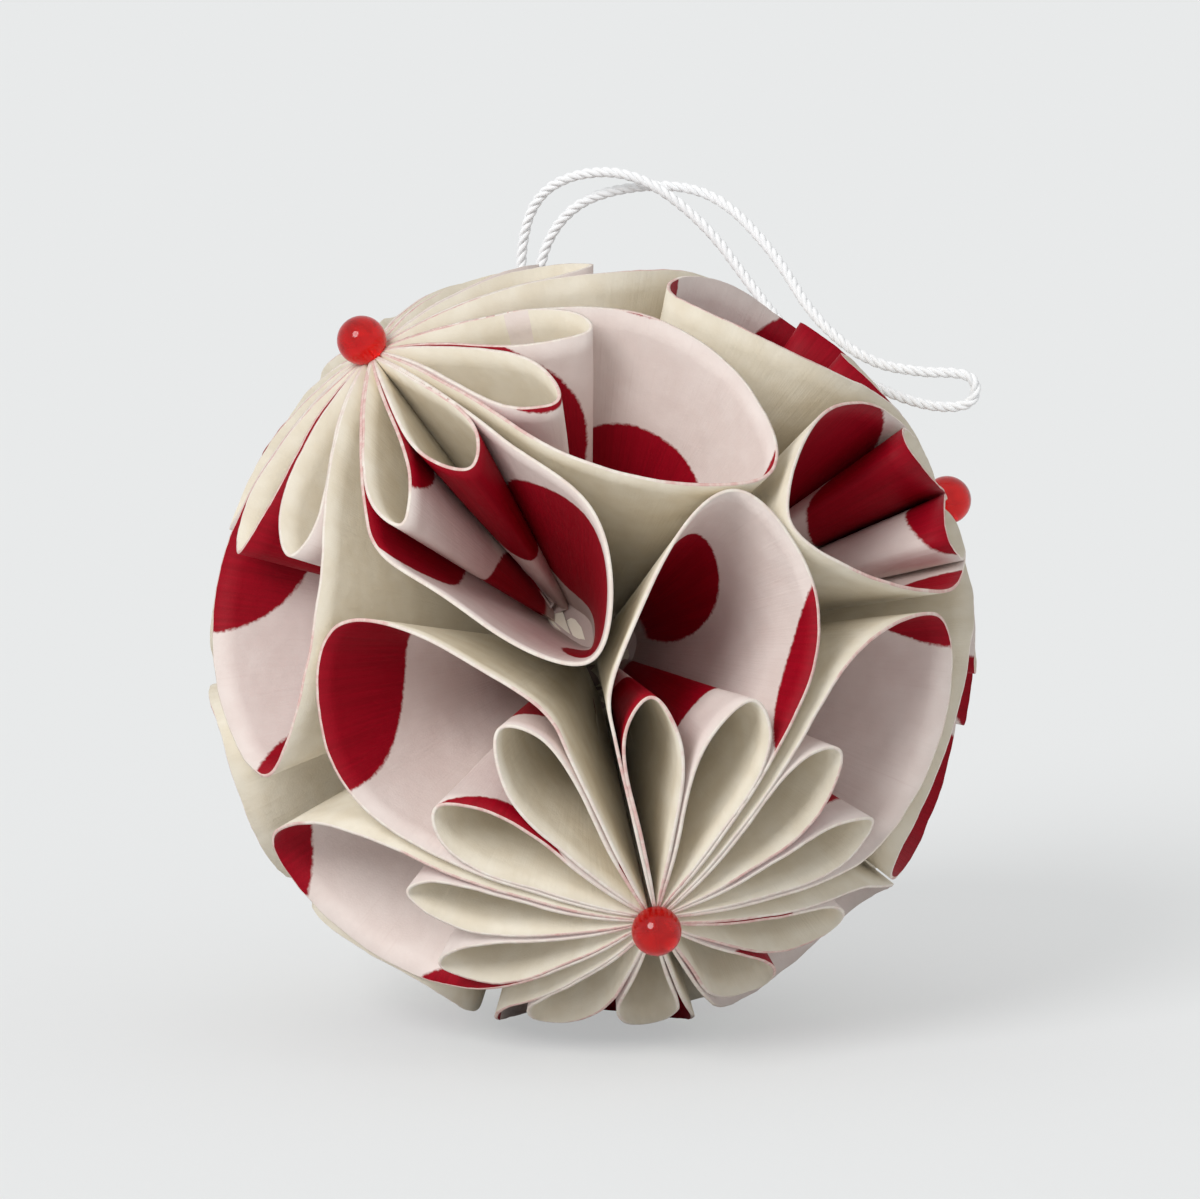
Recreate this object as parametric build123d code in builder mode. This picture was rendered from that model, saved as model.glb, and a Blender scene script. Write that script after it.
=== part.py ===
from build123d import *
from math import cos, radians, sin, sqrt, tan
import os

# Kusudama paper ball: 24 folded paper discs in four rosettes, a bead on each rosette, a cord loop.
# The origin is the centre of the ball. Every disc is folded through its own centre, so each wall is
# a cone with its point at the origin and its rim on the ball. Sizes are in mm, +Z is up.

# ---- sizes -------------------------------------------------------------------------------------
ball_diameter = 63.5        # also the flat diameter of each paper disc
paper_thickness = 0.3       # thick cotton paper
petal_clearance = 0.12      # between the outsides of two petals
bead_diameter = 4.0
bead_seat_depth = 0.65      # how far a bead sinks below the ball's surface
seat_clearance = 0.05
cord_diameter = 0.9

# ---- the four beads, as the corners of a regular tetrahedron turned into this pose --------------
pose_turn = (12.0, -12.4, 156.3)
bead_corners = {"a": (1, 1, 1), "b": (-1, 1, -1), "c": (-1, -1, 1), "d": (1, -1, -1)}

# ---- petal shape, in ball radii on a plane that touches the ball at the petal's middle -----------
petal_middle_deg = 38.0     # from the bead to the middle of the petal
petal_stations = (0.49, 0.68, 0.89)
petal_widths = (0.91, 1.0, 0.64)
petal_leans = (0.15, 0.75, 1.0)

# Each shape: turn about the bead in degrees, reach past the middle, lean of the tip, half width.
edge_petal = (14.0, 0.56, 0.07, 0.275)      # passes beside the petal of the next bead
face_petal = (-46.5, 0.55, -0.05, 0.285)    # meets two others between three beads
own_shapes = {
    "ab_edge": (8.0, 0.63, 0.16, 0.24),
    "ac_edge": (11.0, 0.58, 0.08, 0.27),
    "ad_edge": (11.0, 0.58, 0.08, 0.27),
    "ba_edge": (15.0, 0.54, 0.09, 0.29),
    "bc_edge": (14.0, 0.55, 0.07, 0.28),
    "ab_face": (-52.0, 0.57, 0.0, 0.295),
    "ac_face": (-58.0, 0.61, -0.02, 0.29),
    "ad_face": (-52.0, 0.57, 0.0, 0.295),
    "ba_face": (-48.0, 0.56, -0.09, 0.27),
    "cb_face": (-50.0, 0.68, -0.05, 0.28),
}

# ---- the two small loops inside each petal, in the same units ------------------------------------
loop_slope = 0.185          # sideways per unit of length, to each side of the petal's middle
loop_length = 0.75
loop_half_width = 0.098
loop_stations = (0.5, 0.76, 0.93)
loop_widths = (0.735, 1.0, 0.65)
loop_root_inset = 0.15      # keeps the loops' point inside the petal's

# ---- heights above the ball's centre where the shapes start --------------------------------------
paper_start = 5.0
petal_hollow_start = 7.5
loop_hollow_start = 10.0

# ---- the cord's route: right, back and up from the ball's centre ---------------------------------
cord_route = [
    (-2.0, 9.4, 6.2),
    (-2.8, 14.2, 9.9),
    (-3.5, 19.8, 13.1),
    (-4.7, 25.3, 17.6),
    (-6.2, 30.0, 25.0),
    (-5.6, 30.0, 32.0),
    (-2.4, 28.4, 35.2),
    (3.4, 26.2, 35.8),
    (9.2, 24.4, 31.8),
    (13.4, 21.0, 26.4),
    (16.7, 16.3, 22.8),
    (21.9, 13.4, 20.0),
    (26.6, 11.8, 18.2),
    (31.0, 11.4, 18.2),
    (31.2, 11.6, 20.6),
    (27.2, 12.2, 20.6),
    (22.6, 13.8, 21.4),
    (18.2, 17.0, 24.6),
    (15.0, 21.8, 29.6),
    (10.0, 26.2, 34.2),
    (3.6, 28.6, 34.4),
    (-2.2, 29.8, 32.4),
    (-5.0, 30.0, 26.8),
    (-3.7, 25.9, 18.0),
    (-2.5, 20.1, 13.2),
    (-1.8, 14.6, 9.5),
    (-1.0, 9.6, 6.5),
]

ball_radius = ball_diameter / 2
past_ball = ball_radius * 1.02
bead_distance = ball_radius + bead_diameter / 2 - bead_seat_depth
bead_line = -tan(radians(petal_middle_deg))


def turned(corner):
    """A corner of the tetrahedron as a unit vector in the pose."""
    vector = Vector(*corner).normalized()
    for axis, angle in zip((Axis.X, Axis.Y, Axis.Z), pose_turn):
        vector = vector.rotate(axis, angle)
    return vector


beads = {name: turned(corner) for name, corner in bead_corners.items()}


def petal_plane(bead, toward, turn, height):
    """The plane across a petal at a height above the centre: X runs out from the bead."""
    sideways = (toward - bead * bead.dot(toward)).normalized()
    along = sideways.rotate(Axis((0, 0, 0), tuple(bead)), turn)
    middle = radians(petal_middle_deg)
    normal = bead * cos(middle) + along * sin(middle)
    outward = along * cos(middle) - bead * sin(middle)
    return Plane(origin=normal * height, x_dir=outward, z_dir=normal)


def crossing(p, u, q, v):
    """Where the line through p along u meets the line through q along v."""
    across = u[0] * v[1] - u[1] * v[0]
    step = ((q[0] - p[0]) * v[1] - (q[1] - p[1]) * v[0]) / across
    return (p[0] + u[0] * step, p[1] + u[1] * step)


def direction(p, q):
    length = sqrt((q[0] - p[0]) ** 2 + (q[1] - p[1]) ** 2)
    return ((q[0] - p[0]) / length, (q[1] - p[1]) / length)


def inset_outline(root, points, inset):
    """Move a closed outline in by a distance: its root point, then the points around its end."""
    ring = [root] + points + [root]
    moved = []
    for before, here, after in zip(ring, ring[1:], ring[2:]):
        if before == root:
            along = direction(root, here)
        elif after == root:
            along = direction(here, root)
        else:
            along = direction(before, after)
        moved.append((here[0] - along[1] * inset, here[1] + along[0] * inset))
    first = direction(root, points[0])
    last = direction(points[-1], root)
    new_root = crossing(moved[0], first, moved[-1], last)
    return new_root, moved


def petal_outline(shape, height):
    """Points around a petal's end, from its right wall round the tip to its left wall."""
    turn, reach, lean, half_width = shape
    length = reach - bead_line
    right = []
    left = []
    for station, width, shift in zip(petal_stations, petal_widths, petal_leans):
        x = (bead_line + station * length) * height
        right.append((x, (lean * shift - half_width * width) * height))
        left.append((x, (lean * shift + half_width * width) * height))
    return right + [(reach * height, lean * height)] + left[::-1]


def loop_outline(side, height):
    """Points around a small loop's end. side is -1 on the right and 1 on the left."""
    right = []
    left = []
    for station, width in zip(loop_stations, loop_widths):
        x = (bead_line + station * loop_length) * height
        middle = side * loop_slope * station * loop_length
        right.append((x, (middle - loop_half_width * width) * height))
        left.append((x, (middle + loop_half_width * width) * height))
    tip = ((bead_line + loop_length) * height, side * loop_slope * loop_length * height)
    return right + [tip] + left[::-1]


def draw_outline(root, points):
    """Two straight walls from the root, joined by a smooth curve round the points."""
    right_wall = Line(root, points[0])
    end = Spline(*points, tangents=[direction(root, points[0]), direction(points[-1], root)])
    left_wall = Line(points[-1], root)


def petal_section(shape, height, inset):
    root, points = inset_outline((bead_line * height, 0), petal_outline(shape, height), inset)
    draw_outline(root, points)


def loop_section(side, height, inset):
    root = (bead_line * height + loop_root_inset / sin(radians(24)), 0)
    points = loop_outline(side, height)
    if inset:
        root, points = inset_outline(root, points, inset)
    draw_outline(root, points)


outside = petal_clearance / 2
inside = outside + paper_thickness
pieces = []

for bead_name, bead in beads.items():
    for next_name, next_bead in beads.items():
        if next_name == bead_name:
            continue
        for kind, usual_shape in (("edge", edge_petal), ("face", face_petal)):
            shape = own_shapes.get(f"{bead_name}{next_name}_{kind}", usual_shape)
            with BuildPart() as hollow:
                for height in (petal_hollow_start, past_ball):
                    with BuildSketch(petal_plane(bead, next_bead, shape[0], height)):
                        with BuildLine():
                            petal_section(shape, height, inside)
                        make_face()
                loft(ruled=True)
                for side in (-1, 1):
                    for height in (paper_start, past_ball * 1.01):
                        with BuildSketch(petal_plane(bead, next_bead, shape[0], height)):
                            with BuildLine():
                                loop_section(side, height, 0)
                            make_face()
                    loft(ruled=True, mode=Mode.SUBTRACT)
            with BuildPart() as petal:
                for height in (paper_start, past_ball):
                    with BuildSketch(petal_plane(bead, next_bead, shape[0], height)):
                        with BuildLine():
                            petal_section(shape, height, outside)
                        make_face()
                loft(ruled=True)
                add(hollow.part, mode=Mode.SUBTRACT)
                for side in (-1, 1):
                    for height in (loop_hollow_start, past_ball * 1.01):
                        with BuildSketch(petal_plane(bead, next_bead, shape[0], height)):
                            with BuildLine():
                                loop_section(side, height, paper_thickness)
                            make_face()
                    loft(ruled=True, mode=Mode.SUBTRACT)
                Sphere(radius=ball_radius, mode=Mode.INTERSECT)
                with Locations(bead * bead_distance):
                    Sphere(radius=bead_diameter / 2 + seat_clearance, mode=Mode.SUBTRACT)
            petal.part.label = f"petal_{bead_name}{next_name}_{kind}"
            pieces.append(petal.part)

for bead_name, bead in beads.items():
    with BuildPart() as glass_bead:
        with Locations(bead * bead_distance):
            Sphere(radius=bead_diameter / 2)
    glass_bead.part.label = f"bead_{bead_name}"
    pieces.append(glass_bead.part)

# The cord: straight runs joined by arcs as large as the runs allow.
route = [Vector(*point) for point in cord_route]
radii = []
for before, here, after in zip(route, route[1:], route[2:]):
    shorter_run = min((here - before).length, (after - here).length)
    half_turn = radians((here - before).get_angle(after - here) / 2)
    radii.append(0.45 * shorter_run / tan(half_turn))
print("cord radii", [round(radius, 1) for radius in radii])

with BuildPart() as cord:
    with BuildLine() as cord_path:
        FilletPolyline(*cord_route, radius=radii)
    with BuildSketch(Plane(origin=cord_path.line @ 0, z_dir=cord_path.line % 0)):
        Circle(cord_diameter / 2)
    sweep()
cord_section = 3.14159 * cord_diameter ** 2 / 4
print("cord length", round(cord_path.wire().length, 1))
print("cord volume against section times length", round(cord.part.volume / cord_section, 1))
cord.part.label = "hanging_cord"
pieces.append(cord.part)

os.makedirs("parts", exist_ok=True)
for piece in pieces:
    export_step(piece, f"parts/{piece.label}.step")
    print(piece.label, round(piece.volume, 1), len(piece.solids()))
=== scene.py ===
import math
import random

import bmesh
import bpy
import numpy as np
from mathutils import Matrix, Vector


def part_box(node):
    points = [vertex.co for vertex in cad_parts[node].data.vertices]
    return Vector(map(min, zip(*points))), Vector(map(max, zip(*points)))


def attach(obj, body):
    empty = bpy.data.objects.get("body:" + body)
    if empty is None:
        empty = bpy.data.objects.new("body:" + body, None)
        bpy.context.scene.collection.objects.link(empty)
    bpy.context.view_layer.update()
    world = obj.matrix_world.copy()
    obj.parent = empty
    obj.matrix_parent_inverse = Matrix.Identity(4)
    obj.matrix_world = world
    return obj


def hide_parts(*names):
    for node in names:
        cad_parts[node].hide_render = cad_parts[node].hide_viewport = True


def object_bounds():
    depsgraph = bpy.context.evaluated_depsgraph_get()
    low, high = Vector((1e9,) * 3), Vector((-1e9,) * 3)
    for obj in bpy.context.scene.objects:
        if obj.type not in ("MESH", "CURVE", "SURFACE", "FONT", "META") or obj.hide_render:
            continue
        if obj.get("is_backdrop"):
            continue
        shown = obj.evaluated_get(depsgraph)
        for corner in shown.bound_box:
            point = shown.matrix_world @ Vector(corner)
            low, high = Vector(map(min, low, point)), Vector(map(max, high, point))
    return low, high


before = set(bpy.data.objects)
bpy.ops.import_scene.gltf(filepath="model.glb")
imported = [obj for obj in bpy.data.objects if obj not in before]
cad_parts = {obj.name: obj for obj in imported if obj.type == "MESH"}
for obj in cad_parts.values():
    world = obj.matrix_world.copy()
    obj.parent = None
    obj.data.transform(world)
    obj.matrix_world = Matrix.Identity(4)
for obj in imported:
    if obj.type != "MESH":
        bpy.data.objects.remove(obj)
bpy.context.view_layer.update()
mm = 0.001

# the four beads give their own size and the way the ball is turned
beadNames = ("a", "b", "c", "d")
beadCentres = {}
for name in beadNames:
    low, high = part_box("bead_" + name)
    beadCentres[name] = np.array((low + high) / 2)
beadRadius = (high - low).length / 2 / math.sqrt(3)
beadAlong = {name: spot / np.linalg.norm(spot) for name, spot in beadCentres.items()}
ballRadius = 31.75 * mm          # also the radius of each flat paper disc


viewSettings = {
    "distance": 1.0,
    "elevation": 9.0,           # degrees
    "frameWidth": 97.5 * mm,    # at the ball
    "aim": (0.6 * mm, 0.0, 3.9 * mm),
    "sensor": 36.0,
    "clip": (0.05, 20.0),
}


def placeCamera(settings):
    camera = bpy.data.cameras.new("camera")
    cameraObject = bpy.data.objects.new("camera", camera)
    bpy.context.scene.collection.objects.link(cameraObject)
    lift = math.radians(settings["elevation"])
    back = Vector((0.0, -math.cos(lift), math.sin(lift)))
    aim = Vector(settings["aim"])
    cameraObject.location = aim + back * settings["distance"]
    cameraObject.rotation_euler = (-back).to_track_quat("-Z", "Y").to_euler()
    camera.sensor_width = settings["sensor"]
    camera.lens = settings["sensor"] * settings["distance"] / settings["frameWidth"]
    camera.clip_start, camera.clip_end = settings["clip"]
    bpy.context.scene.camera = cameraObject


placeCamera(viewSettings)
print("camera placed")


# small helpers for node trees
def addNode(tree, kind, inputs=None, **settings):
    node = tree.nodes.new(kind)
    for key, value in settings.items():
        setattr(node, key, value)
    for key, value in (inputs or {}).items():
        socket = node.inputs[key]
        if isinstance(value, bpy.types.NodeSocket):
            tree.links.new(value, socket)
        else:
            socket.default_value = value
    return node


def maths(tree, operation, first, second=0.0):
    return addNode(tree, "ShaderNodeMath", {0: first, 1: second}, operation=operation).outputs[0]


def vectorMaths(tree, operation, first, second=(0.0, 0.0, 0.0)):
    node = addNode(tree, "ShaderNodeVectorMath", {0: first, 1: second}, operation=operation)
    return node.outputs["Vector"]


def scaleVector(tree, vector, factor):
    node = addNode(tree, "ShaderNodeVectorMath", {"Vector": vector, "Scale": factor}, operation="SCALE")
    return node.outputs["Vector"]


def combine(tree, x=0.0, y=0.0, z=0.0):
    return addNode(tree, "ShaderNodeCombineXYZ", {"X": x, "Y": y, "Z": z}).outputs[0]


def separate(tree, vector):
    return addNode(tree, "ShaderNodeSeparateXYZ", {0: vector}).outputs


def attributeVector(tree, name):
    return addNode(tree, "ShaderNodeAttribute", attribute_name=name).outputs["Vector"]


def objectCoords(tree):
    return addNode(tree, "ShaderNodeTexCoord").outputs["Object"]


def mixColour(tree, factor, first, second, blend="MIX"):
    node = addNode(tree, "ShaderNodeMix", data_type="RGBA", blend_type=blend)
    for index, value in ((0, factor), (6, first), (7, second)):
        if isinstance(value, bpy.types.NodeSocket):
            tree.links.new(value, node.inputs[index])
        else:
            node.inputs[index].default_value = value
    return node.outputs[2]


def ramp(tree, value, low, high, fromLow=0.0, fromHigh=1.0):
    node = addNode(tree, "ShaderNodeMapRange", {"Value": value, "From Min": low, "From Max": high,
                                                "To Min": fromLow, "To Max": fromHigh})
    node.interpolation_type = "SMOOTHSTEP"
    return node.outputs["Result"]


def noise(tree, vector, scale, detail=2.0, roughness=0.5, output=0):
    return addNode(tree, "ShaderNodeTexNoise", {"Vector": vector, "Scale": scale, "Detail": detail,
                                                "Roughness": roughness}).outputs[output]


shaderSockets = {"roughness": "Roughness", "specular": "Specular IOR Level", "sheen": "Sheen Weight",
                 "sheenRoughness": "Sheen Roughness", "ior": "IOR", "transmission": "Transmission Weight"}


def newMaterial(name, **values):
    material = bpy.data.materials.new(name)
    material.use_nodes = True
    tree = material.node_tree
    shader = tree.nodes["Principled BSDF"]
    for label, value in values.items():
        shader.inputs[shaderSockets[label]].default_value = value
    return material, tree, shader


def addBump(tree, shader, height, strength, distance):
    bump = addNode(tree, "ShaderNodeBump", {"Strength": strength, "Distance": distance, "Height": height})
    tree.links.new(bump.outputs[0], shader.inputs["Normal"])


def storeNamed(tree, geometry, name, value, kind="FLOAT"):
    return addNode(tree, "GeometryNodeStoreNamedAttribute", {"Geometry": geometry, "Name": name, "Value": value},
                   data_type=kind, domain="POINT").outputs[0]


def newTree(name, geometryInput, geometryOutput, numbers, vectors=()):
    tree = bpy.data.node_groups.new(name, "GeometryNodeTree")
    face = tree.interface
    face.new_socket(geometryInput, in_out="INPUT", socket_type="NodeSocketGeometry")
    for label, value in numbers.items():
        kind = "NodeSocketInt" if isinstance(value, int) else "NodeSocketFloat"
        face.new_socket(label, in_out="INPUT", socket_type=kind).default_value = value
    for label in vectors:
        face.new_socket(label, in_out="INPUT", socket_type="NodeSocketVector")
    face.new_socket("Material", in_out="INPUT", socket_type="NodeSocketMaterial")
    face.new_socket(geometryOutput, in_out="OUTPUT", socket_type="NodeSocketGeometry")
    return tree, tree.nodes.new("NodeGroupInput").outputs


def endTree(tree, geometry, material):
    smooth = addNode(tree, "GeometryNodeSetShadeSmooth", {"Geometry": geometry})
    real = addNode(tree, "GeometryNodeRealizeInstances", {"Geometry": smooth.outputs[0]})
    last = addNode(tree, "GeometryNodeSetMaterial", {"Geometry": real.outputs[0], "Material": material})
    tree.links.new(last.outputs[0], tree.nodes.new("NodeGroupOutput").inputs[0])


cordSettings = {
    "diameter": 0.9 * mm,
    "strands": 3,
    "lay": 2.6 * mm,            # length of one turn of the strands
    "length": 164.3 * mm,
    "step": 0.25 * mm,          # between the rings of a strand
    "strandOffset": 0.25,       # from the cord's middle to a strand's, in cord diameters
    "strandRadius": 0.245,      # so the strands press into each other a little
    "sides": 10,
    "slub": (0.84, 0.36),       # a strand's least thickness and how much it may gain
    "shadow": (0.83, 0.84, 0.85, 1),
    "white": (0.93, 0.935, 0.94, 1),
    "route": [                  # mm
        (-2.0, 9.4, 6.2), (-2.8, 14.2, 9.9), (-3.5, 19.8, 13.1), (-4.7, 25.3, 17.6),
        (-6.2, 30.0, 25.0), (-5.6, 30.0, 32.0), (-2.4, 28.4, 35.2), (3.4, 26.2, 35.8),
        (9.2, 24.4, 31.8), (13.4, 21.0, 26.4), (16.7, 16.3, 22.8), (21.9, 13.4, 20.0),
        (26.6, 11.8, 18.3), (29.2, 11.5, 18.0), (31.0, 11.4, 18.3), (31.5, 11.4, 19.5),
        (31.1, 11.6, 20.6), (29.4, 11.9, 20.9), (27.2, 12.2, 20.8),
        (22.6, 13.8, 21.4), (18.2, 17.0, 24.6), (15.0, 21.8, 29.6), (10.0, 26.2, 34.2),
        (3.6, 28.6, 34.4), (-2.2, 29.8, 32.4), (-5.0, 30.0, 26.8), (-3.7, 25.9, 18.0),
        (-2.5, 20.1, 13.2), (-1.8, 14.6, 9.5), (-1.0, 9.6, 6.5),
    ],
}


def routeLine(settings):
    curve = bpy.data.curves.new("cordLine", "CURVE")
    curve.dimensions = "3D"
    curve.resolution_u = 40
    spline = curve.splines.new("NURBS")
    spline.points.add(len(settings["route"]) - 1)
    for point, place in zip(spline.points, settings["route"]):
        point.co = (place[0] * mm, place[1] * mm, place[2] * mm, 1.0)
    spline.order_u = 3
    spline.use_endpoint_u = True
    holder = bpy.data.objects.new("cordLine", curve)
    bpy.context.scene.collection.objects.link(holder)
    mesh = bpy.data.meshes.new_from_object(holder.evaluated_get(bpy.context.evaluated_depsgraph_get()))
    line = np.array([v.co for v in mesh.vertices], float)
    bpy.data.objects.remove(holder)
    bpy.data.meshes.remove(mesh)
    return line


cordLine = routeLine(cordSettings)
print("cord line has", len(cordLine), "points")


def cordTree(settings):
    tree, source = newTree("twistedCord", "Line", "Cord", {"Strands": 3, "Lay": 0.003, "Diameter": 0.0009,
                                                           "Step": 0.00025, "Seed": 4.0})
    line = addNode(tree, "GeometryNodeMeshToCurve", {"Mesh": source["Line"]})
    line = addNode(tree, "GeometryNodeSetCurveNormal", {"Curve": line.outputs[0]})
    line = addNode(tree, "GeometryNodeResampleCurve", {"Curve": line.outputs[0], "Length": source["Step"]},
                   mode="LENGTH")
    copies = addNode(tree, "GeometryNodeDuplicateElements",
                     {"Geometry": line.outputs[0], "Amount": source["Strands"]}, domain="SPLINE")
    strand = copies.outputs["Duplicate Index"]
    along = addNode(tree, "GeometryNodeSplineParameter").outputs["Length"]
    turns = maths(tree, "ADD", maths(tree, "DIVIDE", along, source["Lay"]),
                  maths(tree, "DIVIDE", strand, source["Strands"]))
    angle = maths(tree, "MULTIPLY", turns, 2 * math.pi)
    normal = addNode(tree, "GeometryNodeInputNormal").outputs[0]
    tangent = addNode(tree, "GeometryNodeInputTangent").outputs[0]
    side = vectorMaths(tree, "CROSS_PRODUCT", tangent, normal)
    across = vectorMaths(tree, "ADD", scaleVector(tree, normal, maths(tree, "COSINE", angle)),
                         scaleVector(tree, side, maths(tree, "SINE", angle)))
    offset = maths(tree, "MULTIPLY", source["Diameter"], settings["strandOffset"])
    radius = maths(tree, "MULTIPLY", source["Diameter"], settings["strandRadius"])
    moved = addNode(tree, "GeometryNodeSetPosition", {"Geometry": copies.outputs["Geometry"],
                                                      "Offset": scaleVector(tree, across, offset)})
    # each strand is thicker in some places than in others
    slub = noise(tree, combine(tree, maths(tree, "MULTIPLY", along, 900.0), strand, source["Seed"]), 1.0)
    least, gain = settings["slub"]
    thick = maths(tree, "MULTIPLY", radius, maths(tree, "ADD", maths(tree, "MULTIPLY", slub, gain), least))
    kept = addNode(tree, "GeometryNodeCaptureAttribute", {"Geometry": moved.outputs[0]}, domain="POINT")
    kept.capture_items.new("FLOAT", "along")
    kept.capture_items.new("FLOAT", "strand")
    tree.links.new(along, kept.inputs["along"])
    tree.links.new(strand, kept.inputs["strand"])
    ring = addNode(tree, "GeometryNodeCurvePrimitiveCircle", {"Resolution": settings["sides"], "Radius": 1.0})
    ringKept = addNode(tree, "GeometryNodeCaptureAttribute", {"Geometry": ring.outputs[0]}, domain="POINT")
    ringKept.capture_items.new("FLOAT", "around")
    tree.links.new(addNode(tree, "GeometryNodeSplineParameter").outputs["Factor"], ringKept.inputs["around"])
    tube = addNode(tree, "GeometryNodeCurveToMesh", {"Curve": kept.outputs["Geometry"],
                                                     "Profile Curve": ringKept.outputs["Geometry"],
                                                     "Scale": thick, "Fill Caps": True})
    place = combine(tree, kept.outputs["along"], ringKept.outputs["around"], kept.outputs["strand"])
    named = storeNamed(tree, tube.outputs[0], "threadPlace", place, "FLOAT_VECTOR")
    endTree(tree, named, source["Material"])
    return tree


def setInputs(modifier, values):
    sockets = {item.name: item.identifier for item in modifier.node_group.interface.items_tree
               if item.item_type == "SOCKET" and item.in_out == "INPUT"}
    for label, value in values.items():
        modifier[sockets[label]] = value


def bakeNodes(name, mesh, tree, values):
    holder = bpy.data.objects.new(name + "Source", mesh)
    bpy.context.scene.collection.objects.link(holder)
    modifier = holder.modifiers.new("nodes", "NODES")
    modifier.node_group = tree
    setInputs(modifier, values)
    made = bpy.data.meshes.new_from_object(holder.evaluated_get(bpy.context.evaluated_depsgraph_get()))
    bpy.data.objects.remove(holder)
    made.name = name
    piece = bpy.data.objects.new(name, made)
    bpy.context.scene.collection.objects.link(piece)
    return piece


def lineMesh(name, points, closed=False):
    mesh = bpy.data.meshes.new(name)
    count = len(points)
    edges = [(i, (i + 1) % count) for i in range(count if closed else count - 1)]
    mesh.from_pydata([tuple(p) for p in points], edges, [])
    return mesh


def cottonFinish(settings):
    material, tree, shader = newMaterial("cottonCord", roughness=0.9, sheen=0.35, sheenRoughness=0.5)
    along, around, strand = separate(tree, attributeVector(tree, "threadPlace"))
    # fine fibres run along each strand, slightly turned round it
    turned = maths(tree, "ADD", around, maths(tree, "MULTIPLY", along, 420.0))
    fibre = combine(tree, maths(tree, "MULTIPLY", along, 900.0), maths(tree, "MULTIPLY", turned, 14.0), strand)
    grain = noise(tree, fibre, 1.6, 4.0, 0.6)
    shade = mixColour(tree, ramp(tree, grain, 0.3, 0.7), settings["shadow"], settings["white"])
    tree.links.new(shade, shader.inputs["Base Color"])
    addBump(tree, shader, grain, 0.5, 0.06 * mm)
    return material


cordPiece = bakeNodes("hangingCord", lineMesh("cordLine", cordLine), cordTree(cordSettings), {
    "Strands": cordSettings["strands"],
    "Lay": cordSettings["lay"],
    "Diameter": cordSettings["diameter"],
    "Step": cordSettings["step"],
    "Material": cottonFinish(cordSettings),
})
cordLength = float(np.linalg.norm(np.diff(cordLine, axis=0), axis=1).sum())
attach(cordPiece, "root")
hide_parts("hanging_cord")
print("cord made, line length", round(cordLength * 1000, 1), "mm")


# plane sizes are in ball radii, on a plane that touches the ball at the petal's middle
petalSettings = {
    "middle": 38.0,             # degrees from the bead to a petal's middle
    "stations": (0.49, 0.68, 0.89),
    "widths": (0.91, 1.0, 0.64),
    "leans": (0.15, 0.75, 1.0),
    "rootAngle": 2.1,           # the folds end this many degrees from the bead, under it
    "pressed": 0.6,             # share of the thickness left where the folds are pressed together
    "pressedFrom": 1.2 * mm,    # fully, this far from the bead's axis
    "pressedTo": 3.6 * mm,      # and not at all from here out
    "thickness": 0.28 * mm,
    "foldGap": 0.188 * mm,      # between the layers at the folds
    "inset": 0.21 * mm,
    "innerRadius": 6.5 * mm,    # the sheet's flat middle
    "trim": 0.4 * mm,           # how uneven the cut edge is
    "lower": 0.45 * mm,         # the most that a whole disc is set back
    "wave": 0.35 * mm,
    "straighten": 15.0,         # degrees from the bead within which the layers run parallel
    "rows": 14,
    # turn about the bead, reach past the middle, lean of the tip, half width
    "edge": (14.0, 0.56, 0.07, 0.275),
    "face": (-46.5, 0.55, -0.05, 0.285),
    "own": {
        "ab_edge": (8.0, 0.63, 0.16, 0.24),
        "ac_edge": (11.0, 0.58, 0.08, 0.27),
        "ad_edge": (11.0, 0.58, 0.08, 0.27),
        "ba_edge": (15.0, 0.54, 0.09, 0.29),
        "bc_edge": (14.0, 0.55, 0.07, 0.28),
        "ab_face": (-52.0, 0.57, 0.0, 0.295),
        "ac_face": (-58.0, 0.61, -0.02, 0.29),
        "ad_face": (-52.0, 0.57, 0.0, 0.295),
        "ba_face": (-48.0, 0.56, -0.09, 0.27),
        "cb_face": (-50.0, 0.68, -0.05, 0.28),
    },
}

loopSettings = {
    # out from the bead and sideways, for a petal whose walls open at the usual slope
    "outer": ((-0.406, 0.125), (-0.211, 0.197), (-0.084, 0.188)),
    "tip": (-0.035, 0.139),
    "inner": ((-0.084, 0.070), (-0.211, 0.014), (-0.406, 0.006)),
    "usualSlope": 0.381,
    "length": 0.75,             # from the bead to a loop's tip
    "spread": 0.045,            # how much the loops differ in length
    "pinch": 0.13,              # and how much narrower some are
}


def smoothThrough(points, startTangent, endTangent, perSpan=16):
    points = np.array(points, float)
    gaps = np.linalg.norm(np.diff(points, axis=0), axis=1)
    count = len(points)
    matrix = np.zeros((count, count))
    right = np.zeros((count, 2))
    matrix[0, 0] = matrix[-1, -1] = 1
    right[0], right[-1] = startTangent, endTangent
    for i in range(1, count - 1):
        matrix[i, i - 1] = gaps[i]
        matrix[i, i] = 2 * (gaps[i - 1] + gaps[i])
        matrix[i, i + 1] = gaps[i - 1]
        right[i] = 3 * (gaps[i] * (points[i] - points[i - 1]) / gaps[i - 1]
                        + gaps[i - 1] * (points[i + 1] - points[i]) / gaps[i])
    slopes = np.linalg.solve(matrix, right)
    line = []
    for i in range(count - 1):
        for t in np.arange(perSpan) / perSpan:
            h = gaps[i]
            line.append((2 * t**3 - 3 * t**2 + 1) * points[i] + (t**3 - 2 * t**2 + t) * h * slopes[i]
                        + (3 * t**2 - 2 * t**3) * points[i + 1] + (t**3 - t**2) * h * slopes[i + 1])
    line.append(points[-1])
    return np.array(line)


def unit(v):
    v = np.array(v, float)
    return v / np.linalg.norm(v)


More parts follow.
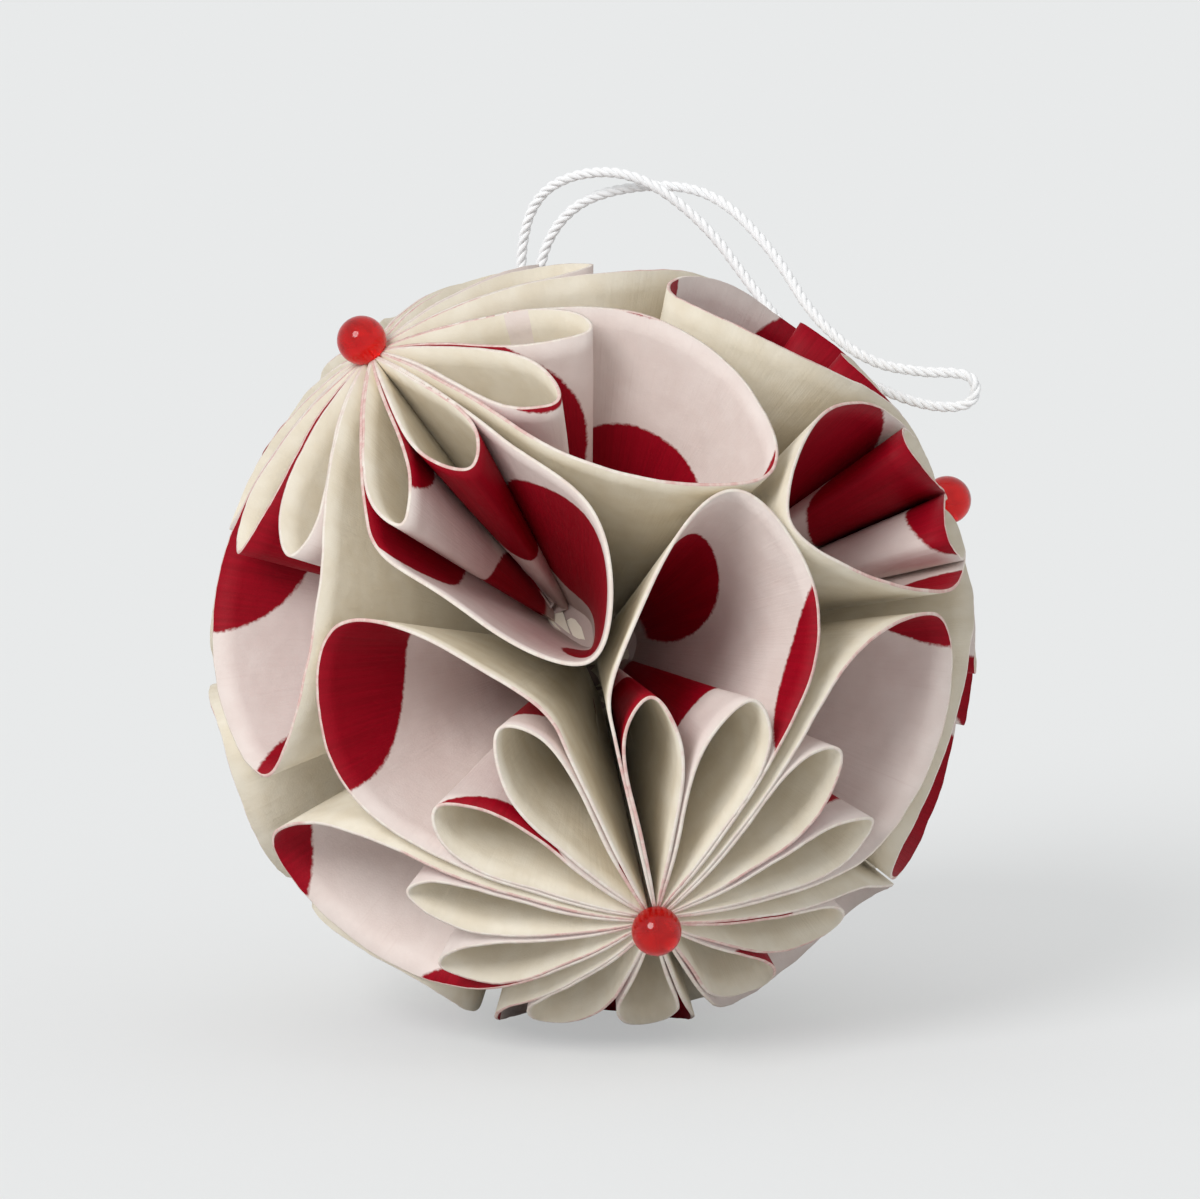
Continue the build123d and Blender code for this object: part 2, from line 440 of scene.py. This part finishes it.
def insetOutline(root, points, inset):
    ring = [np.array(root, float)] + [np.array(p, float) for p in points] + [np.array(root, float)]
    moved = []
    for i in range(1, len(ring) - 1):
        if i == 1:
            along = unit(ring[1] - ring[0])
        elif i == len(ring) - 2:
            along = unit(ring[-1] - ring[i])
        else:
            along = unit(ring[i + 1] - ring[i - 1])
        moved.append(ring[i] + np.array([-along[1], along[0]]) * inset)
    return moved


def petalRim(shape, lengths, pinches):
    turn, reach, lean, halfWidth = shape
    beadLine = -math.tan(math.radians(petalSettings["middle"]))
    rootX = -math.tan(math.radians(petalSettings["middle"] - petalSettings["rootAngle"]))
    gap = petalSettings["foldGap"] / ballRadius
    right, left = [], []
    rows = zip(petalSettings["stations"], petalSettings["widths"], petalSettings["leans"])
    for station, width, shift in rows:
        x = beadLine + station * (reach - beadLine)
        right.append((x, lean * shift - halfWidth * width))
        left.append((x, lean * shift + halfWidth * width))
    outline = right + [(reach, lean)] + left[::-1]
    moved = insetOutline((beadLine, 0), outline, petalSettings["inset"] / ballRadius)
    rightWay = unit(np.array(outline[0]) - (beadLine, 0))
    leftWay = unit(np.array((beadLine, 0)) - outline[-1])
    end = smoothThrough(moved, rightWay, leftWay)
    rightRoot = end[0] + rightWay * (rootX - end[0][0]) / rightWay[0]
    leftRoot = end[-1] + leftWay * (rootX - end[-1][0]) / leftWay[0]

    def straight(a, b, count=14):
        return [a + (b - a) * i / count for i in range(count)]

    def fold(a, b, count=8):
        middle, half = (a + b) / 2, (b - a) / 2
        back = np.array([-abs(half[1]), 0.0])
        return [middle - half * math.cos(math.pi * i / count) + back * math.sin(math.pi * i / count)
                for i in range(count)]

    def loop(side, length, pinch):
        root = rightRoot if side < 0 else leftRoot
        slope = abs(outline[0 if side < 0 else -1][1]) / (outline[0][0] - beadLine)
        widen = slope / loopSettings["usualSlope"]

        def placed(p):
            x = beadLine + (p[0] - beadLine) * length
            centre = loopSettings["tip"][1] * (p[0] - beadLine) / loopSettings["length"]
            return np.array((x, side * (p[1] + (centre - p[1]) * pinch) * widen))

        outerRoot = np.array([rootX, root[1] - side * gap])
        innerRoot = np.array([rootX, side * gap / 2])
        outer = [placed(p) for p in loopSettings["outer"]]
        inner = [placed(p) for p in loopSettings["inner"]]
        points = [outerRoot] + outer + [placed(loopSettings["tip"])] + inner + [innerRoot]
        line = smoothThrough(points, unit(outer[0] - outerRoot), unit(innerRoot - inner[-1]), 14)
        return line if side > 0 else line[::-1]

    leftLoop, rightLoop = loop(1, lengths[0], pinches[0]), loop(-1, lengths[1], pinches[1])
    path = straight(rightRoot, end[0]) + list(end[:-1]) + straight(end[-1], leftRoot)
    path += fold(leftRoot, leftLoop[0]) + list(leftLoop[:-1])
    path += fold(leftLoop[-1], rightLoop[0]) + list(rightLoop[:-1])
    path += fold(rightLoop[-1], rightRoot)
    return np.array(path)


def beadFrame(first, second, turn):
    bead, toward = beadAlong[first], beadAlong[second]
    sideways = unit(toward - bead * bead.dot(toward))
    angle = math.radians(turn)
    along = sideways * math.cos(angle) + np.cross(bead, sideways) * math.sin(angle)
    middle = math.radians(petalSettings["middle"])
    normal = bead * math.cos(middle) + along * math.sin(middle)
    outward = along * math.cos(middle) - bead * math.sin(middle)
    return bead, normal, outward, np.cross(normal, outward)


def rimMesh(name, first, second, shape, lengths, pinches):
    bead, normal, outward, sideways = beadFrame(first, second, shape[0])
    rim = petalRim(shape, lengths, pinches)
    rays = normal + rim[:, :1] * outward + rim[:, 1:] * sideways
    rays /= np.linalg.norm(rays, axis=1)[:, None]
    steps = np.linalg.norm(np.roll(rays, -1, axis=0) - rays, axis=1) * ballRadius
    arc = np.concatenate([[0], np.cumsum(steps)[:-1]])
    tangent = np.roll(rays, -1, axis=0) - np.roll(rays, 1, axis=0)
    tangent /= np.linalg.norm(tangent, axis=1)[:, None]
    # the petal's inside is to the left of the way round, and a small loop's is to the right
    inward = np.cross(rays, tangent)
    rootX = -math.tan(math.radians(petalSettings["middle"] - petalSettings["rootAngle"]))
    folds = np.nonzero(rim[:, 0] <= rootX + 1e-6)[0]
    start = folds[folds > 20][0]
    inward[start:] *= -1
    fromBead = np.degrees(np.arccos(np.clip(rays @ bead, -1, 1)))
    share = np.clip((fromBead - petalSettings["rootAngle"] - 1) / petalSettings["straighten"], 0, 1)
    weight = (1 - share * share * (3 - 2 * share))[:, None]
    across = rays - (rays @ bead)[:, None] * bead
    tuck = weight * ballRadius * across + (1 - weight) * petalSettings["inset"] * inward
    mesh = lineMesh(name, rays * ballRadius, closed=True)
    for label, kind, field, values in (("tuck", "FLOAT_VECTOR", "vector", tuck), ("arc", "FLOAT", "value", arc),
                                       ("free", "FLOAT", "value", share)):
        mesh.attributes.new(label, kind, "POINT").data.foreach_set(field, values.astype(np.float32).ravel())
    return mesh, normal, bead


def discTree():
    tree, source = newTree("foldedDisc", "Rim", "Disc", {
        "Columns": 100, "Rows": 12, "Ball Radius": 0.03175, "Inner Radius": 0.0065, "Trim": 0.0003, "Lower": 0.0,
        "Wave": 0.0003, "Seed": 0.0, "Print Turn": 0.0}, ["Print Shift"])

    # a flat grid for the sheet and one face for its middle, numbered by column and row
    index = addNode(tree, "GeometryNodeInputIndex").outputs[0]
    counted = maths(tree, "ADD", index, 0.5)
    grid = addNode(tree, "GeometryNodeMeshGrid", {"Vertices X": maths(tree, "ADD", source["Columns"], 1),
                                                  "Vertices Y": source["Rows"]})
    column = maths(tree, "FLOOR", maths(tree, "DIVIDE", counted, source["Rows"]))
    column = maths(tree, "MODULO", column, source["Columns"])
    row = maths(tree, "FLOOR", maths(tree, "MODULO", counted, source["Rows"]))
    sheet = storeNamed(tree, storeNamed(tree, grid.outputs[0], "column", column), "row", row)
    middle = addNode(tree, "GeometryNodeMeshCircle", {"Vertices": source["Columns"]}, fill_type="NGON")
    middle = storeNamed(tree, storeNamed(tree, middle.outputs[0], "column", index), "row", 0.0)
    both = tree.nodes.new("GeometryNodeJoinGeometry")
    tree.links.new(sheet, both.inputs[0])
    tree.links.new(middle, both.inputs[0])

    def named(name, kind="FLOAT"):
        return addNode(tree, "GeometryNodeInputNamedAttribute", {"Name": name}, data_type=kind).outputs[0]

    def fromRim(value, kind="FLOAT"):
        return addNode(tree, "GeometryNodeSampleIndex", {"Geometry": source["Rim"], "Value": value,
                                                         "Index": maths(tree, "ROUND", named("column"))},
                       data_type=kind, domain="POINT").outputs[0]

    rimPlace = fromRim(addNode(tree, "GeometryNodeInputPosition").outputs[0], "FLOAT_VECTOR")
    tuck = fromRim(named("tuck", "FLOAT_VECTOR"), "FLOAT_VECTOR")
    arc = fromRim(named("arc"))
    free = fromRim(named("free"))                        # 0 under the bead, 1 well away from it
    ray = vectorMaths(tree, "NORMALIZE", rimPlace)

    # the cut edge is a little uneven
    cutPlace = vectorMaths(tree, "ADD", scaleVector(tree, ray, 9.0),
                           combine(tree, x=source["Seed"], z=source["Seed"]))
    cut = noise(tree, cutPlace, 1.0, 3.0, 0.55)
    lost = maths(tree, "ADD", source["Lower"], maths(tree, "MULTIPLY", cut, source["Trim"]))
    rimRadius = maths(tree, "SUBTRACT", source["Ball Radius"], maths(tree, "MULTIPLY", lost, free))
    share = maths(tree, "DIVIDE", named("row"), maths(tree, "SUBTRACT", source["Rows"], 1))
    depth = maths(tree, "SUBTRACT", rimRadius, source["Inner Radius"])
    radius = maths(tree, "ADD", source["Inner Radius"], maths(tree, "MULTIPLY", depth, share))
    part = maths(tree, "DIVIDE", radius, source["Ball Radius"])
    place = vectorMaths(tree, "ADD", scaleVector(tree, ray, radius),
                        scaleVector(tree, tuck, maths(tree, "SUBTRACT", 1.0, part)))
    # soft waves, the same for neighbours so that they never cross
    waves = vectorMaths(tree, "SUBTRACT", noise(tree, place, 95.0, 1.5, 0.5, "Color"), (0.5, 0.5, 0.5))
    height = maths(tree, "MULTIPLY", source["Wave"], maths(tree, "MULTIPLY", part, part))
    place = vectorMaths(tree, "ADD", place, scaleVector(tree, waves, height))
    folded = addNode(tree, "GeometryNodeSetPosition", {"Geometry": both.outputs[0], "Position": place}).outputs[0]

    # where each point lies on the printed pattern, and along and out on the sheet, both in millimetres
    angle = maths(tree, "ADD", maths(tree, "DIVIDE", arc, source["Ball Radius"]), source["Print Turn"])
    flat = combine(tree, maths(tree, "MULTIPLY", radius, maths(tree, "COSINE", angle)),
                   maths(tree, "MULTIPLY", radius, maths(tree, "SINE", angle)))
    printed = vectorMaths(tree, "ADD", scaleVector(tree, flat, 1000.0), source["Print Shift"])
    wrap = combine(tree, maths(tree, "MULTIPLY", arc, 1000.0), maths(tree, "MULTIPLY", radius, 1000.0),
                   source["Seed"])
    folded = storeNamed(tree, folded, "printPlace", printed, "FLOAT_VECTOR")
    folded = storeNamed(tree, folded, "sheetPlace", wrap, "FLOAT_VECTOR")
    whole = addNode(tree, "GeometryNodeMergeByDistance", {"Geometry": folded, "Distance": 0.000001})
    endTree(tree, whole.outputs[0], source["Material"])
    return tree


printSettings = {
    "spacing": 29.5,            # mm between dots
    "dotRadius": 9.8,
    "bare": (7.6, 8.4),         # mm from the sheet's middle, within which the print is rubbed off
    "paintedShadeReach": (6.5, 15.0),    # over which the painted shade, darkest at the sheet's middle deep in the petals, fades out again
    "crimson": (0.335, 0.0, 0.011, 1),
    "crimsonDark": (0.26, 0.0, 0.008, 1),
    "crimsonWorn": (0.50, 0.06, 0.07, 1),
    "ground": (0.735, 0.635, 0.59, 1),
    "groundPale": (0.78, 0.69, 0.645, 1),
    "groundDark": (0.66, 0.54, 0.495, 1),
    "cream": (0.80, 0.74, 0.625, 1),
    "creamDark": (0.735, 0.66, 0.53, 1),
    # painted shade: the paper colour used towards the sheet's middle, deep inside the petals
    "paintedShade": (0.40, 0.30, 0.27, 1),
    "fleck": (0.60, 0.52, 0.42, 1),
    "edge": (0.80, 0.74, 0.66, 1),
    "edgeDark": (0.75, 0.64, 0.57, 1),
    "edgeStain": (0.60, 0.25, 0.24, 1),
}


def paperGrain(tree, shader):
    place = attributeVector(tree, "sheetPlace")
    coords = objectCoords(tree)
    grain = {
        "fine": noise(tree, coords, 5200.0, 3.0, 0.6),
        "long": noise(tree, vectorMaths(tree, "MULTIPLY", place, (2.6, 0.09, 1.0)), 1.0, 4.0, 0.62),
        "soft": noise(tree, coords, 420.0, 2.0),
    }
    height = maths(tree, "ADD", maths(tree, "MULTIPLY", grain["fine"], 0.22),
                   maths(tree, "ADD", maths(tree, "MULTIPLY", grain["long"], 0.55),
                         maths(tree, "MULTIPLY", grain["soft"], 1.1)))
    addBump(tree, shader, height, 0.55, 0.16 * mm)
    return place, grain


def dotMask(tree, softness=0.16):
    place = attributeVector(tree, "printPlace")
    rough = noise(tree, place, 2.4, 3.0, 0.6, "Color")
    rough = scaleVector(tree, vectorMaths(tree, "SUBTRACT", rough, (0.5, 0.5, 0.5)), 0.5)
    place = vectorMaths(tree, "ADD", place, rough)
    half = printSettings["spacing"] / 2
    tall = half * math.sqrt(3)
    nearest = None
    for shift in ((0.0, 0.0, 0.0), (half, tall, 0.0)):
        parts = separate(tree, vectorMaths(tree, "ADD", place, shift))
        x = maths(tree, "PINGPONG", parts[0], half)
        y = maths(tree, "PINGPONG", parts[1], tall)
        away = maths(tree, "SQRT", maths(tree, "ADD", maths(tree, "MULTIPLY", x, x), maths(tree, "MULTIPLY", y, y)))
        nearest = away if nearest is None else maths(tree, "MINIMUM", nearest, away)
    radius = printSettings["dotRadius"]
    dots = ramp(tree, nearest, radius - softness, radius + softness, 1.0, 0.0)
    fromMiddle = separate(tree, attributeVector(tree, "sheetPlace"))[1]
    bareFrom, bareTo = printSettings["bare"]
    return maths(tree, "MULTIPLY", dots, ramp(tree, fromMiddle, bareFrom, bareTo))


def printedFinish():
    material, tree, shader = newMaterial("printedPaper", roughness=0.6, specular=0.16)
    place, grain = paperGrain(tree, shader)
    ground = mixColour(tree, ramp(tree, grain["soft"], 0.25, 0.75), printSettings["ground"],
                       printSettings["groundPale"])
    ground = mixColour(tree, ramp(tree, grain["long"], 0.58, 0.78, 0.0, 0.4), ground, printSettings["groundDark"])
    dots = mixColour(tree, ramp(tree, grain["long"], 0.3, 0.75), printSettings["crimsonDark"],
                     printSettings["crimson"])
    dots = mixColour(tree, ramp(tree, grain["fine"], 0.70, 0.80, 0.0, 0.25), dots, printSettings["crimsonWorn"])
    # painted shade: the ground is darkened towards the sheet's middle, where the petals are deep
    paintedShadeFrom, paintedShadeTo = printSettings["paintedShadeReach"]
    paintedShadeShare = ramp(tree, separate(tree, place)[1], paintedShadeFrom, paintedShadeTo, 0.85, 0.0)
    ground = mixColour(tree, paintedShadeShare, ground, printSettings["paintedShade"])
    tree.links.new(mixColour(tree, dotMask(tree), ground, dots), shader.inputs["Base Color"])
    return material


def plainFinish():
    material, tree, shader = newMaterial("plainPaper", roughness=0.8, specular=0.25)
    place, grain = paperGrain(tree, shader)
    cream = mixColour(tree, ramp(tree, grain["soft"], 0.25, 0.75), printSettings["cream"],
                      printSettings["creamDark"])
    cream = mixColour(tree, ramp(tree, grain["fine"], 0.66, 0.8, 0.0, 0.4), cream, printSettings["fleck"])
    tree.links.new(cream, shader.inputs["Base Color"])
    return material


def edgeFinish():
    material, tree, shader = newMaterial("cutEdge", roughness=0.85, specular=0.2)
    place, grain = paperGrain(tree, shader)
    patchy = noise(tree, vectorMaths(tree, "MULTIPLY", place, (1.1, 1.0, 1.0)), 1.0, 4.0, 0.65)
    pale = mixColour(tree, ramp(tree, patchy, 0.35, 0.65), printSettings["edge"], printSettings["edgeDark"])
    stain = maths(tree, "MULTIPLY", dotMask(tree, 0.7), ramp(tree, patchy, 0.30, 0.70, 0.25, 0.6))
    tree.links.new(mixColour(tree, stain, pale, printSettings["edgeStain"]), shader.inputs["Base Color"])
    return material


paperFinishes = [printedFinish(), plainFinish(), edgeFinish()]
discNodes = discTree()

# how the print lies on each disc: one dot's middle on the flat sheet in mm, then the way to the next in degrees
printLay = {
    "ab_edge": (-25.0, 0.0, 40.0),
    "ab_face": (-13.2, -23.5, 104.0),
    "ac_face": (-2.5, 11.3, 55.0),
    "ba_edge": (5.0, 31.0, -136.0),
    "ba_face": (0.3, 14.8, 20.0),
    "bc_edge": (2.0, 33.0, -10.0),
    "bd_face": (13.5, 34.8, 0.0),
    "ca_edge": (-11.6, -27.6, 75.0),
    "cb_face": (16.0, 16.0, 209.5),
}


def turnedFlat(lay):
    turn = -math.radians(lay[2])
    return Vector((lay[0] * math.cos(turn) - lay[1] * math.sin(turn),
                   lay[0] * math.sin(turn) + lay[1] * math.cos(turn), 0.0))


def foldedDisc(name, seed, first, second, shape, lay):
    dice = random.Random(seed * 13 + 5)
    lengths = [1 + dice.uniform(-1, 1) * loopSettings["spread"] for _ in range(2)]
    pinches = [dice.uniform(0, 1) * loopSettings["pinch"] for _ in range(2)]
    rim, normal, bead = rimMesh(name + "Rim", first, second, shape, lengths, pinches)
    columns = len(rim.vertices)
    piece = bakeNodes(name + "Sheet", rim, discNodes, {
        "Columns": columns,
        "Rows": petalSettings["rows"],
        "Ball Radius": ballRadius,
        "Inner Radius": petalSettings["innerRadius"],
        "Trim": petalSettings["trim"],
        "Lower": dice.uniform(0, 1) * petalSettings["lower"],
        "Wave": petalSettings["wave"],
        "Seed": float(seed),
        "Print Turn": -math.radians(lay[2]),
        "Print Shift": -turnedFlat(lay),
        "Material": paperFinishes[0],
    })
    mesh = piece.data
    mesh.materials.clear()
    for finish in paperFinishes:
        mesh.materials.append(finish)
    mesh.polygons.foreach_set("material_index", [0] * len(mesh.polygons))
    work = bmesh.new()
    work.from_mesh(mesh)
    bmesh.ops.recalc_face_normals(work, faces=work.faces)
    middle = max(work.faces, key=lambda f: len(f.verts))
    if middle.normal.dot(Vector(normal)) < 0:
        bmesh.ops.reverse_faces(work, faces=work.faces)
    for edge in work.edges:
        if middle in edge.link_faces:
            edge.smooth = False
    pressed = work.verts.layers.deform.verify()
    pressedFrom, pressedTo = petalSettings["pressedFrom"], petalSettings["pressedTo"]
    for vertex in work.verts:
        away = (vertex.co - Vector(bead) * vertex.co.dot(Vector(bead))).length
        vertex[pressed][0] = float(np.clip((away - pressedFrom) / (pressedTo - pressedFrom), 0, 1))
    work.to_mesh(mesh)
    work.free()
    piece.vertex_groups.new(name="full")
    wall = piece.modifiers.new("thickness", "SOLIDIFY")
    wall.vertex_group = "full"
    wall.thickness_vertex_group = petalSettings["pressed"]
    wall.thickness = petalSettings["thickness"]
    wall.offset = 0.0
    wall.use_even_offset = False
    wall.material_offset = 1
    wall.material_offset_rim = 2
    solid = bpy.data.meshes.new_from_object(piece.evaluated_get(bpy.context.evaluated_depsgraph_get()))
    bpy.data.objects.remove(piece)
    solid.name = name
    disc = bpy.data.objects.new(name, solid)
    bpy.context.scene.collection.objects.link(disc)
    return disc


seed = 0
for first in beadNames:
    for second in beadNames:
        for kind in ("edge", "face"):
            if first == second:
                continue
            key = f"{first}{second}_{kind}"
            shape = petalSettings["own"].get(key, petalSettings[kind])
            seed += 1
            chance = (10.0 * math.cos(seed * 2.3), 10.0 * math.sin(seed * 2.3), seed * 97.0)
            lay = printLay.get(key, chance)
            disc = foldedDisc("disc_" + key, seed, first, second, shape, lay)
            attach(disc, "root")
            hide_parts("petal_" + key)
print("24 folded discs made")


beadSettings = {
    "segments": 48,
    "rings": 32,
    "dark": (0.62, 0.0, 0.002, 1),
    "bright": (0.85, 0.008, 0.006, 1),
}


def glassFinish(settings):
    material, tree, shader = newMaterial("redGlass", roughness=0.05, ior=1.42, specular=0.3, transmission=0.7)
    cloud = noise(tree, objectCoords(tree), 700.0, 3.0)
    tree.links.new(mixColour(tree, ramp(tree, cloud, 0.3, 0.7), settings["dark"], settings["bright"]),
                   shader.inputs["Base Color"])
    return material


glass = glassFinish(beadSettings)
for name in beadNames:
    work = bmesh.new()
    bmesh.ops.create_uvsphere(work, u_segments=beadSettings["segments"], v_segments=beadSettings["rings"],
                              radius=beadRadius)
    along = Vector(beadAlong[name])
    turnUp = along.to_track_quat("Z", "Y").to_matrix()
    for vertex in work.verts:
        vertex.co = turnUp @ vertex.co + Vector(beadCentres[name])
    for side in work.faces:
        side.smooth = True
    mesh = bpy.data.meshes.new("glass_bead_" + name)
    work.to_mesh(mesh)
    work.free()
    mesh.materials.append(glass)
    bead = bpy.data.objects.new("glass_bead_" + name, mesh)
    bpy.context.scene.collection.objects.link(bead)
    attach(bead, "root")
    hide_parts("bead_" + name)
print("beads made")


roomSettings = {
    "floorColour": (0.82, 0.83, 0.835, 1),
    "backdrop": (0.835, 0.85, 0.85, 1),
    "floorGlow": 0.5,           # share of the backdrop's own colour in the floor, so that its shadow is soft
    "worldStrength": 0.62,
    "keyStrength": 1.9,
    "keySoftness": 28.0,        # degrees
    "keyFrom": (-0.62, -0.95, 0.75),
    "reach": 3.0,               # from the ball to the floor's sides
}


def makeRoom(settings):
    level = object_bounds()[0].z
    reach = settings["reach"]
    corners = [(-reach, -reach, level), (reach, -reach, level), (reach, reach, level), (-reach, reach, level)]
    mesh = bpy.data.meshes.new("floor")
    mesh.from_pydata(corners, [], [(0, 1, 2, 3)])
    floor = bpy.data.objects.new("floor", mesh)
    bpy.context.scene.collection.objects.link(floor)
    floor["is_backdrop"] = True
    material, tree, shader = newMaterial("floorCard", roughness=0.9, specular=0.1)
    shader.inputs["Base Color"].default_value = settings["floorColour"]
    path = addNode(tree, "ShaderNodeLightPath").outputs
    glow = addNode(tree, "ShaderNodeEmission", {"Color": settings["backdrop"], "Strength": 1.0})
    share = maths(tree, "MULTIPLY", path["Is Camera Ray"], settings["floorGlow"])
    both = addNode(tree, "ShaderNodeMixShader", {0: share, 1: shader.outputs[0], 2: glow.outputs[0]})
    tree.links.new(both.outputs[0], tree.nodes["Material Output"].inputs["Surface"])
    mesh.materials.append(material)

    world = bpy.data.worlds.new("studio")
    bpy.context.scene.world = world
    world.use_nodes = True
    tree = world.node_tree
    tree.nodes.clear()
    path = addNode(tree, "ShaderNodeLightPath").outputs
    seen = maths(tree, "MAXIMUM", path["Is Camera Ray"],
                 maths(tree, "MAXIMUM", path["Is Glossy Ray"], path["Is Transmission Ray"]))
    lit = addNode(tree, "ShaderNodeBackground", {"Color": (1.0, 1.0, 1.0, 1),
                                                 "Strength": settings["worldStrength"]})
    shown = addNode(tree, "ShaderNodeBackground", {"Color": settings["backdrop"], "Strength": 1.0})
    both = addNode(tree, "ShaderNodeMixShader", {0: seen, 1: lit.outputs[0], 2: shown.outputs[0]})
    target = tree.nodes.new("ShaderNodeOutputWorld")
    tree.links.new(both.outputs[0], target.inputs["Surface"])

    key = bpy.data.lights.new("key", "SUN")
    key.energy = settings["keyStrength"]
    key.angle = math.radians(settings["keySoftness"])
    holder = bpy.data.objects.new("key", key)
    holder.rotation_euler = Vector(settings["keyFrom"]).to_track_quat("Z", "Y").to_euler()
    bpy.context.scene.collection.objects.link(holder)


makeRoom(roomSettings)
bpy.context.scene.view_settings.view_transform = "Standard"
print("room made")
